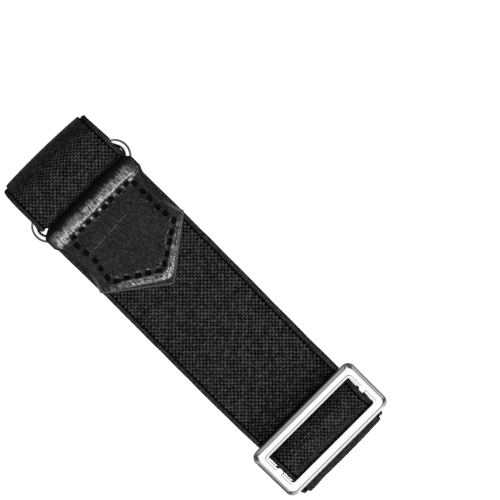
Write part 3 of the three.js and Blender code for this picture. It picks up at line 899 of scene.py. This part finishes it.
def middle_bar_surface(steps=281, around=60):
    """A rounded section carried across the slide. At each end it flares, and a half disc on it is level with
    the frame's top."""
    reach = SLIDE_LENGTH / 2 - SLIDE_BAR + SUNK_END
    y = np.linspace(-reach, reach, steps)
    from_frame = (SLIDE_LENGTH / 2 - SLIDE_BAR - np.abs(y))[:, None]
    half_width = MIDDLE_BAR_HALF + ROOT_FLARE * (1 - smooth_step(from_frame, -0.3, 0.6))
    bottom = -SLIDE_THICKNESS / 2 + SUNK_FACE
    turn = np.linspace(0, 2 * np.pi, around, endpoint=False)
    cosine, sine = np.cos(turn), np.sin(turn)
    unit_x = np.sign(cosine) * np.abs(cosine) ** (2 / SQUARENESS)
    unit_z = np.sign(sine) * np.abs(sine) ** (2 / SQUARENESS)
    x = half_width * unit_x[None, :]
    from_root = np.hypot(x / LUG_RADII[0], np.maximum(from_frame, 0) / LUG_RADII[1])
    lug = 1 - smooth_step(from_root, 0.72, 1.0)
    top = MIDDLE_BAR_TOP + (SLIDE_THICKNESS / 2 - MIDDLE_BAR_TOP) * lug - SUNK_FACE
    z = (top + bottom) / 2 + (top - bottom) / 2 * unit_z[None, :]
    return np.stack([x, np.broadcast_to(y[:, None], x.shape), z], axis=-1)


def joined(parts):
    """Several closed surfaces as one list of points and faces, each turned outwards first."""
    all_points, all_faces, count = [], [], 0
    for surface, faces in parts:
        surface = surface.reshape(-1, 3)
        if enclosed_volume(surface, faces) < 0:
            faces = faces[:, ::-1]
        all_points.append(surface)
        all_faces.append(faces + count)
        count += len(surface)
    return np.concatenate(all_points), np.concatenate(all_faces)


frame_points = frame_surface()
bar_points = middle_bar_surface()
slide_points, slide_faces = joined([
    (frame_points, grid_faces(*frame_points.shape[:2], closed_rows=True, closed_columns=True)),
    (bar_points, grid_faces(*bar_points.shape[:2], closed_columns=True)),
])
bar_start = frame_points.shape[0] * frame_points.shape[1]
# 1 on the top and bottom faces and 0 on the bevels and sides, which the chrome paints darker as a painted
# dark reflection
slide_height = slide_points[:, 2]
slide_away_from_rim = np.maximum(smooth_step(slide_height, -0.3, 0.9), smooth_step(-slide_height, 0.6, 0.88))
slide = add_piece(
    "slide_frame",
    placed_on_slide(slide_points),
    slide_faces,
    caps=end_caps(*bar_points.shape[:2], bar_start),
    attributes={"away_from_rim": slide_away_from_rim},
    sharp_angle=50,
)
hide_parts("slide")

# %% [markdown]
# ## Finishes
# The finishes are small node networks. A pattern that belongs to the cloth or the leather reads an attribute
# that was stored with the points: how far along and across the strap a point is, or how near the cut edge. So
# it follows every fold. The helpers keep the networks short: they add a node with its inputs, do sums, blend
# colours, and lay a bump on the surface.

# %% Node helpers
def new_finish(name):
    """An empty material with its surface shader."""
    material = bpy.data.materials.new(name)
    material.use_nodes = True
    tree = material.node_tree
    return material, tree, tree.nodes["Principled BSDF"]


def feed(tree, fed, inputs):
    """Gives each input of a node a number, a colour or another node's output."""
    for key, value in inputs.items():
        if isinstance(value, bpy.types.NodeSocket):
            tree.links.new(value, fed.inputs[key])
        else:
            fed.inputs[key].default_value = value


def node(tree, kind, inputs, **options):
    """Adds a node, sets its options and feeds its inputs."""
    made = tree.nodes.new(kind)
    for name, value in options.items():
        setattr(made, name, value)
    feed(tree, made, inputs)
    return made


def calc(tree, operation, first, second=0.0, third=0.0):
    """One sum of the Math node."""
    return node(tree, "ShaderNodeMath", {0: first, 1: second, 2: third}, operation=operation).outputs[0]


def fade(tree, value, start, end, low=0.0, high=1.0):
    """Low up to start, high from end on, with an even curve between."""
    inputs = {"Value": value, "From Min": start, "From Max": end, "To Min": low, "To Max": high}
    return node(tree, "ShaderNodeMapRange", inputs, interpolation_type="SMOOTHSTEP").outputs[0]


# %% Patterns and colours
def noise(tree, place, scale, detail):
    """Soft random values round a half."""
    return node(tree, "ShaderNodeTexNoise", {"Vector": place, "Scale": scale, "Detail": detail}).outputs[0]


def stretched(tree, place, factors):
    """A place with each of its three numbers multiplied by its own factor."""
    return node(tree, "ShaderNodeVectorMath", {0: place, 1: factors}, operation="MULTIPLY").outputs[0]


def blend_numbers(tree, share, first, second):
    """First where share is 0 and second where it is 1."""
    return node(tree, "ShaderNodeMix", {0: share, 2: first, 3: second}, data_type="FLOAT").outputs[0]


def blend_colours(tree, share, first, second):
    """First where share is 0 and second where it is 1."""
    return node(tree, "ShaderNodeMix", {0: share, 6: first, 7: second}, data_type="RGBA").outputs[2]


def grey(value):
    """A grey as red, green, blue and alpha."""
    return (value, value, value, 1)


def bumpy(tree, height, strength, distance):
    """The surface's direction, leant as a relief of this height would lean it. Distance is in millimetres."""
    inputs = {"Height": height, "Strength": strength, "Distance": distance * MM}
    return node(tree, "ShaderNodeBump", inputs).outputs[0]


def object_place(tree):
    """Where a point is on the piece, in metres."""
    return node(tree, "ShaderNodeTexCoord", {}).outputs["Object"]


def attribute(tree, name):
    """The three numbers stored with the points under this name."""
    stored = node(tree, "ShaderNodeAttribute", {}, attribute_name=name)
    parts = node(tree, "ShaderNodeSeparateXYZ", {0: stored.outputs["Vector"]})
    return stored.outputs["Vector"], parts.outputs[0], parts.outputs[1], parts.outputs[2]


def give_finish(piece, material):
    """Lays the finish on the piece."""
    piece.data.materials.append(material)
    print(f"{piece.name}: {material.name}, {len(material.node_tree.nodes)} nodes")


# %% [markdown]
# The elastic is nearly black, and what makes it look woven is that each dash catches a little light while the
# holes at its ends stay black. That light and shade are painted into the colour: a painted highlight on each
# dash, and painted shade in the holes, between the ribs and in the selvedge's groove. The network counts ribs
# along the strap and dashes across it, shifts every second rib by half a dash, and makes an oval at each
# place.
# The oval is lighter, stands up in the bump, and has a brightness of its own, because real threads never lie
# alike. Where the strap dives below the slide's first bar the colour is darker, as painted shade. An image of
# cloth would repeat and blur.

# %% Woven elastic
DASH_PERIOD = 2 * RIB_PITCH
GROOVE_AT = 13.68  # from the strap's middle
# the two darkest greys are painted shade in the holes and rib valleys of the weave and of the selvedge
WEAVE_SHADE_GREY = 0.0006
SELVEDGE_SHADE_GREY = 0.0025
DASH_GREY = 0.066
DIVE_SHADE_AT = 74.0  # along the strap, where it dives below the slide's first bar and is darkened with painted shade


def woven_elastic():
    """Dark cloth with a light oval on every dash, partly a painted highlight, with painted shade round it,
    and ribs that slant across the selvedges.
    """
    material, tree, surface = new_finish("woven_elastic")
    place, along, across, from_middle = attribute(tree, "weave")
    fibres = noise(tree, stretched(tree, place, (5.0, 2.2, 0.0)), 1.0, 2.0)
    wander = calc(tree, "MULTIPLY_ADD", noise(tree, place, 0.9, 1.0), 0.5, -0.25)

    # the number of the rib and of the dash, and the place inside each from -0.5 to 0.5
    rib_place = calc(tree, "DIVIDE", along, RIB_PITCH)
    rib = calc(tree, "ROUND", rib_place)
    in_rib = calc(tree, "SUBTRACT", rib_place, rib)
    shift = calc(tree, "MULTIPLY", calc(tree, "FLOORED_MODULO", rib, 2.0), 0.5)
    dash_place = calc(tree, "ADD", calc(tree, "DIVIDE", across, DASH_PERIOD), shift)
    dash_place = calc(tree, "MULTIPLY_ADD", wander, 0.35, dash_place)
    dash = calc(tree, "ROUND", dash_place)
    in_dash = calc(tree, "SUBTRACT", dash_place, dash)
    number = node(tree, "ShaderNodeCombineXYZ", {0: rib, 1: dash})
    chance = node(tree, "ShaderNodeTexWhiteNoise", {"Vector": number.outputs[0]}, noise_dimensions="2D")
    chances = node(tree, "ShaderNodeSeparateXYZ", {0: chance.outputs["Color"]})
    own = calc(tree, "MULTIPLY_ADD", calc(tree, "POWER", chance.outputs["Value"], 2.0), 1.05, 0.48)
    fibre = fade(tree, fibres, 0.38, 0.66, 0.3, 1.85)

    # holes between the dashes of a rib, of uneven size, and the rib's own roundness: they shape the bump, and
    # darken the colour as painted shade
    end_gap = calc(tree, "MULTIPLY", calc(tree, "SUBTRACT", 0.5, calc(tree, "ABSOLUTE", in_dash)), 4.3)
    side_gap = calc(tree, "MULTIPLY", calc(tree, "ABSOLUTE", in_rib), 2.4)
    from_hole = calc(tree, "ADD", calc(tree, "POWER", end_gap, 2.0), calc(tree, "POWER", side_gap, 2.0))
    from_hole = calc(tree, "MULTIPLY", from_hole, calc(tree, "MULTIPLY_ADD", chances.outputs[2], 1.1, 0.5))
    covered = fade(tree, from_hole, 0.3, 1.1, 0.0, 1.0)
    rib_round = fade(tree, calc(tree, "ABSOLUTE", in_rib), 0.46, 0.10, 0.12, 1.0)
    raised = calc(tree, "MULTIPLY", covered, rib_round)

    # each dash is lightest near its middle, a painted highlight, and painted shade darkens it in the
    # selvedge's groove and where it dives below the slide's first bar
    off_middle = calc(tree, "ADD", in_dash, calc(tree, "MULTIPLY_ADD", chances.outputs[1], 0.24, -0.12))
    stroke = fade(tree, calc(tree, "ABSOLUTE", off_middle), 0.42, 0.10, 0.6, 1.3)
    light = calc(tree, "MULTIPLY", calc(tree, "MULTIPLY", raised, own), calc(tree, "MULTIPLY", fibre, stroke))
    # painted shade in the selvedge's groove, a recess of the section
    from_groove = calc(tree, "ABSOLUTE", calc(tree, "SUBTRACT", from_middle, GROOVE_AT))
    groove = fade(tree, from_groove, 0.14, 0.36)
    # painted shade: the cloth's colour is darker round where it dives below the slide's first bar
    from_bar = calc(tree, "ABSOLUTE", calc(tree, "SUBTRACT", along, DIVE_SHADE_AT))
    dive_shade = fade(tree, from_bar, 1.5, 10.0, 0.45, 1.0)
    light = calc(tree, "MULTIPLY", light, calc(tree, "MULTIPLY", groove, dive_shade))
    # painted highlight on the dashes and painted shade in the holes and valleys; each dash's own brightness
    # and the fibres are its real tone
    colour = blend_colours(tree, light, grey(WEAVE_SHADE_GREY), grey(DASH_GREY))

    # the selvedge, from its groove outwards
    edge = fade(tree, from_middle, 13.45, 13.62)
    edge_rib = calc(tree, "PINGPONG", calc(tree, "MULTIPLY_ADD", from_middle, 0.25, rib_place), 0.5)
    edge_light = calc(tree, "MULTIPLY", fade(tree, edge_rib, 0.08, 0.36), calc(tree, "MULTIPLY", fibre, own))
    edge_light = calc(tree, "MULTIPLY", edge_light, groove)
    edge_colour = blend_colours(tree, edge_light, grey(SELVEDGE_SHADE_GREY), grey(DASH_GREY))
    height = calc(tree, "MULTIPLY_ADD", fibres, 0.35, blend_numbers(tree, edge, raised, edge_light))
    feed(tree, surface, {
        "Base Color": blend_colours(tree, edge, colour, edge_colour),
        "Normal": bumpy(tree, height, 0.7, 0.11),
        "Roughness": 0.82,
        "Specular IOR Level": 0.0,
    })
    return material


give_finish(strap, woven_elastic())
print("elastic: ribs", RIB_PITCH, "mm apart, dashes", DASH_PERIOD, "mm apart")

# %% [markdown]
# The leather is dyed black all over, half matt on the flat and polished where it bends over the wire. Past
# the waist the dye is thinner on the cut edge, which looks grey. Fine grain comes from small cells, and the
# roll is creased by the bend, so its highlight breaks up into short streaks. One shader, with a roughness and
# a coat that change over the surface, gives all of that. Two materials would show a border on a piece that
# has none.

# %% Black leather
DYE_GREYS = (0.002, 0.023)  # in the grain's hollows and on its tops
CLOUD_GREY = 0.024
# painted shade at the roll's front, which faces the ring
ROLL_FRONT_SHADE_GREY = 0.005
CUT_EDGE_GREY = 0.072
CREASE_HIGHLIGHT_GREY = 0.10
# painted shade in the stitch holes
HOLE_SHADE_GREY = 0.001
CREASE_HIGHLIGHT_X = -28.7  # where a painted highlight runs across the tab, along a crease


def black_leather():
    """Mottled black with a grey cut edge, a painted highlight along a crease, painted shade at the roll's
    front and in the stitch holes, and a coat where the leather is polished.
    """
    material, tree, surface = new_finish("black_leather")
    _, around, edge, shine = attribute(tree, "tab")
    where = object_place(tree)
    grain = node(tree, "ShaderNodeTexVoronoi", {"Vector": where, "Scale": 2600.0, "Randomness": 1.0},
                 feature="SMOOTH_F1")
    mottle = noise(tree, where, 2300.0, 2.0)
    cloud = noise(tree, where, 120.0, 2.0)
    x, y, _ = node(tree, "ShaderNodeSeparateXYZ", {0: where}).outputs
    streak_place = node(tree, "ShaderNodeCombineXYZ", {
        0: calc(tree, "MULTIPLY", around, 0.55),
        1: calc(tree, "MULTIPLY", y, 3.4 / MM),
    })
    streaks = noise(tree, streak_place.outputs[0], 1.0, 3.0)

    past_waist = fade(tree, x, -26 * MM, -21 * MM)
    cut = calc(tree, "MULTIPLY", fade(tree, edge, 0.85, 0.65), past_waist)
    speckle = fade(tree, mottle, 0.38, 0.72)
    dark, light = DYE_GREYS
    base = blend_colours(tree, speckle, grey(dark), grey(light))
    base = blend_colours(tree, fade(tree, cloud, 0.35, 0.75, 0.0, 0.3), base, grey(CLOUD_GREY))
    # painted shade: the base colour is darker at the roll's front, towards the ring
    off_roll_front_shade = fade(tree, x, -39.5 * MM, -37.5 * MM)
    base = blend_colours(tree, off_roll_front_shade, grey(ROLL_FRONT_SHADE_GREY), base)

    # a painted highlight along a crease across the tab, which slants a little and breaks up in the mottle
    from_crease_highlight = calc(tree, "MULTIPLY_ADD", y, 0.05, calc(tree, "ADD", x, -CREASE_HIGHLIGHT_X * MM))
    crease_highlight = fade(tree, calc(tree, "ABSOLUTE", from_crease_highlight), 0.17 * MM, 0.05 * MM)
    crease_highlight = calc(tree, "MULTIPLY", crease_highlight, fade(tree, y, -10.4 * MM, -9.4 * MM))
    crease_highlight = calc(tree, "MULTIPLY", crease_highlight, fade(tree, y, 4.6 * MM, 3.2 * MM))
    crease_highlight = calc(tree, "MULTIPLY", crease_highlight, fade(tree, mottle, 0.42, 0.6))
    base = blend_colours(tree, crease_highlight, base, grey(CREASE_HIGHLIGHT_GREY))
    # painted shade in the stitch holes, where the polish falls below zero
    base = blend_colours(tree, fade(tree, shine, -0.05, -0.4), base, grey(HOLE_SHADE_GREY))

    rough = fade(tree, mottle, 0.3, 0.7, 0.46, 0.62)
    polished = calc(tree, "MAXIMUM", shine, 0.0)
    streaky = fade(tree, streaks, 0.36, 0.60, 0.1, 1.35)
    grainy = calc(tree, "MULTIPLY", streaky, fade(tree, mottle, 0.36, 0.6, 0.55, 1.15))

    fine = calc(tree, "MULTIPLY_ADD", grain.outputs["Distance"], -0.6, calc(tree, "MULTIPLY", mottle, 0.35))
    crossed = calc(tree, "MULTIPLY", calc(tree, "MULTIPLY", streaks, polished), 1.2)
    feed(tree, surface, {
        "Base Color": blend_colours(tree, cut, base, grey(CUT_EDGE_GREY)),
        "Roughness": blend_numbers(tree, cut, rough, 0.75),
        "Specular IOR Level": 0.04,
        "Coat Weight": calc(tree, "MULTIPLY", polished, grainy),
        "Coat Roughness": 0.28,
        "Coat IOR": 1.85,
        "Normal": bumpy(tree, calc(tree, "ADD", fine, crossed), 0.6, 0.10),
    })
    return material


give_finish(tab, black_leather())

# %% [markdown]
# Sewing thread is twisted from yarns, three here, which show as slanting bands round it. The bands come from
# the two numbers stored on each stitch: how far along it and how far round it a point is.

# %% Black thread
THREAD_GREYS = (0.001, 0.006)  # between the yarns and on them
YARNS = 3
TWIST = 1.9  # bands to a millimetre of thread


def black_thread():
    """Bands that climb evenly along the stitch and round it, dark between them."""
    material, tree, surface = new_finish("black_thread")
    _, along, around, _ = attribute(tree, "twist")
    slant = calc(tree, "MULTIPLY_ADD", along, TWIST, calc(tree, "MULTIPLY", around, YARNS / (2 * np.pi)))
    band = calc(tree, "PINGPONG", slant, 0.5)
    dark, light = THREAD_GREYS
    feed(tree, surface, {
        "Base Color": blend_colours(tree, fade(tree, band, 0.02, 0.4), grey(dark), grey(light)),
        "Normal": bumpy(tree, band, 0.8, 0.12),
        "Roughness": 0.8,
        "Specular IOR Level": 0.06,
    })
    return material


thread_finish = black_thread()
for thread in (tab_thread, end_thread):
    give_finish(thread, thread_finish)

# %% [markdown]
# Chrome plate over polished metal is a mirror that takes its looks from the room, so its own network adds
# little: very fine scratches that widen the highlights, drawn out across the strap, and slow waves such as
# the polishing of the metal underneath leaves. The real rims look dark. Why isn't known: a likely cause is
# that the buffing wheel runs over the top of small parts and hardly touches their sides. Here the sides are
# made darker in the base colour, a painted dark reflection.

# %% Chrome
def chrome(name, tone, roughness, wave, painted_rim_brightness):
    """A metal with fine scratches and slow waves, and sides painted darker as a painted dark reflection. Wave
    is the relief's depth in millimetres, and the last argument is how bright the painted sides are, as a
    share of the rest."""
    material, tree, surface = new_finish(name)
    where = object_place(tree)
    slow = noise(tree, where, 160.0, 1.0)
    scratches = noise(tree, stretched(tree, where, (5200.0, 350.0, 5200.0)), 1.0, 2.0)
    away_from_rim = node(tree, "ShaderNodeAttribute", {}, attribute_name="away_from_rim").outputs["Fac"]
    brightness = fade(tree, away_from_rim, 0.0, 1.0, painted_rim_brightness, 1.0)
    plate = blend_colours(tree, slow, grey(tone - 0.06), grey(tone + 0.04))
    height = calc(tree, "MULTIPLY_ADD", scratches, 0.05, slow)
    feed(tree, surface, {
        "Base Color": blend_colours(tree, brightness, grey(0.0), plate),
        "Roughness": fade(tree, scratches, 0.35, 0.75, roughness, roughness + 0.07),
        "Normal": bumpy(tree, height, 0.5, wave),
        "Metallic": 1.0,
    })
    return material


give_finish(ring, chrome("ring_chrome", tone=0.77, roughness=0.04, wave=0.02, painted_rim_brightness=0.18))
give_finish(slide, chrome("slide_chrome", tone=0.72, roughness=0.06, wave=0.03, painted_rim_brightness=0.30))

# %% [markdown]
# ## Floor and light
# The floor is plain. Its middle is a light table: white, and lit a little from below, which is how small
# goods are shown without a shadow, and it fades to a plain grey beyond. A wide soft panel hangs overhead. A
# smaller, brighter lamp leans towards the slide, because the leather shines on the slopes that face that way.
# That lamp is kept off the ring and the slide, as a photographer's black card would do, since the slide's
# flats would mirror it as blank white, and two faint cards beside the strap give the slide's end bevels
# something to mirror. The room beyond is dark. Polished metal needs that: it mirrors the panel as a white
# core and the room as a dark edge, where an even room would leave it flat grey.

# %% Floor
FLOOR_HALF = 2000.0
FLOOR_Z = -0.02
TABLE_RADIUS = 102.0  # the part that is lit from below
TABLE_GREY = 0.86
TABLE_GLOW = 0.7
SURROUND_GREY = 0.6
floor_corners = np.array([(-1, -1), (1, -1), (1, 1), (-1, 1)]) * FLOOR_HALF
floor_mesh = bpy.data.meshes.new("floor")
floor_points = np.column_stack([floor_corners, np.full(4, FLOOR_Z)]) * MM
floor_mesh.from_pydata(floor_points.tolist(), [], [[0, 1, 2, 3]])
floor = bpy.data.objects.new("floor", floor_mesh)
bpy.context.scene.collection.objects.link(floor)
floor_finish, floor_tree, floor_surface = new_finish("floor_white")
table_middle = (CAMERA_MIDDLE[0] * MM, CAMERA_MIDDLE[1] * MM, 0.0)
from_middle = node(
    floor_tree, "ShaderNodeVectorMath", {0: object_place(floor_tree), 1: table_middle}, operation="DISTANCE")
off_table = fade(floor_tree, from_middle.outputs["Value"], TABLE_RADIUS * MM, 2 * TABLE_RADIUS * MM)
feed(floor_tree, floor_surface, {
    "Base Color": blend_colours(floor_tree, off_table, grey(TABLE_GREY), grey(SURROUND_GREY)),
    "Emission Color": blend_colours(floor_tree, off_table, grey(1.0), grey(0.0)),
    "Emission Strength": TABLE_GLOW,
    "Roughness": 0.9,
    "Specular IOR Level": 0.0,
})
give_finish(floor, floor_finish)

# %% Lamps and surroundings
LAMP_AWAY = 1.0  # metres
ROOM_GREY = 0.13


def soft_lamp(name, lean, size, radiance, lit=None, way=0):
    """An oblong lamp that leans towards the slide, or that way turned by some degrees, and shines on the
    middle. Watts are pi times area times radiance. Where lit lists pieces, it lights only those."""
    data = bpy.data.lights.new(name, "AREA")
    data.shape = "RECTANGLE"
    data.size, data.size_y = size
    data.energy = np.pi * size[0] * size[1] * radiance
    lamp = bpy.data.objects.new(name, data)
    lean = np.radians(lean)
    way = np.radians(way)
    level = LAMP_AWAY * np.sin(lean)
    lamp.location = (level * np.cos(way), level * np.sin(way), LAMP_AWAY * np.cos(lean))
    lamp.rotation_euler = (0, lean, way)
    bpy.context.scene.collection.objects.link(lamp)
    if lit:
        lamp.light_linking.receiver_collection = bpy.data.collections.new("lit_by_" + name)
        for piece in lit:
            lamp.light_linking.receiver_collection.objects.link(piece)


soft_lamp("overhead_panel", lean=8, size=(1.56, 1.56), radiance=1.25)
all_but_chrome = [strap, tab, tab_thread, end_thread, floor]
soft_lamp("side_lamp", lean=31, size=(0.36, 0.70), radiance=7.5, lit=all_but_chrome)
soft_lamp("fill_panel", lean=-50, size=(0.40, 1.40), radiance=0.45)
for side in (-1, 1):
    soft_lamp(f"card_{side}", lean=74, size=(0.36, 1.3), radiance=0.5, lit=[slide], way=90 * side)

world = bpy.data.worlds.new("dark_room")
world.use_nodes = True
world.node_tree.nodes["Background"].inputs["Color"].default_value = grey(ROOM_GREY)
bpy.context.scene.world = world
bpy.context.scene.view_settings.view_transform = "Standard"
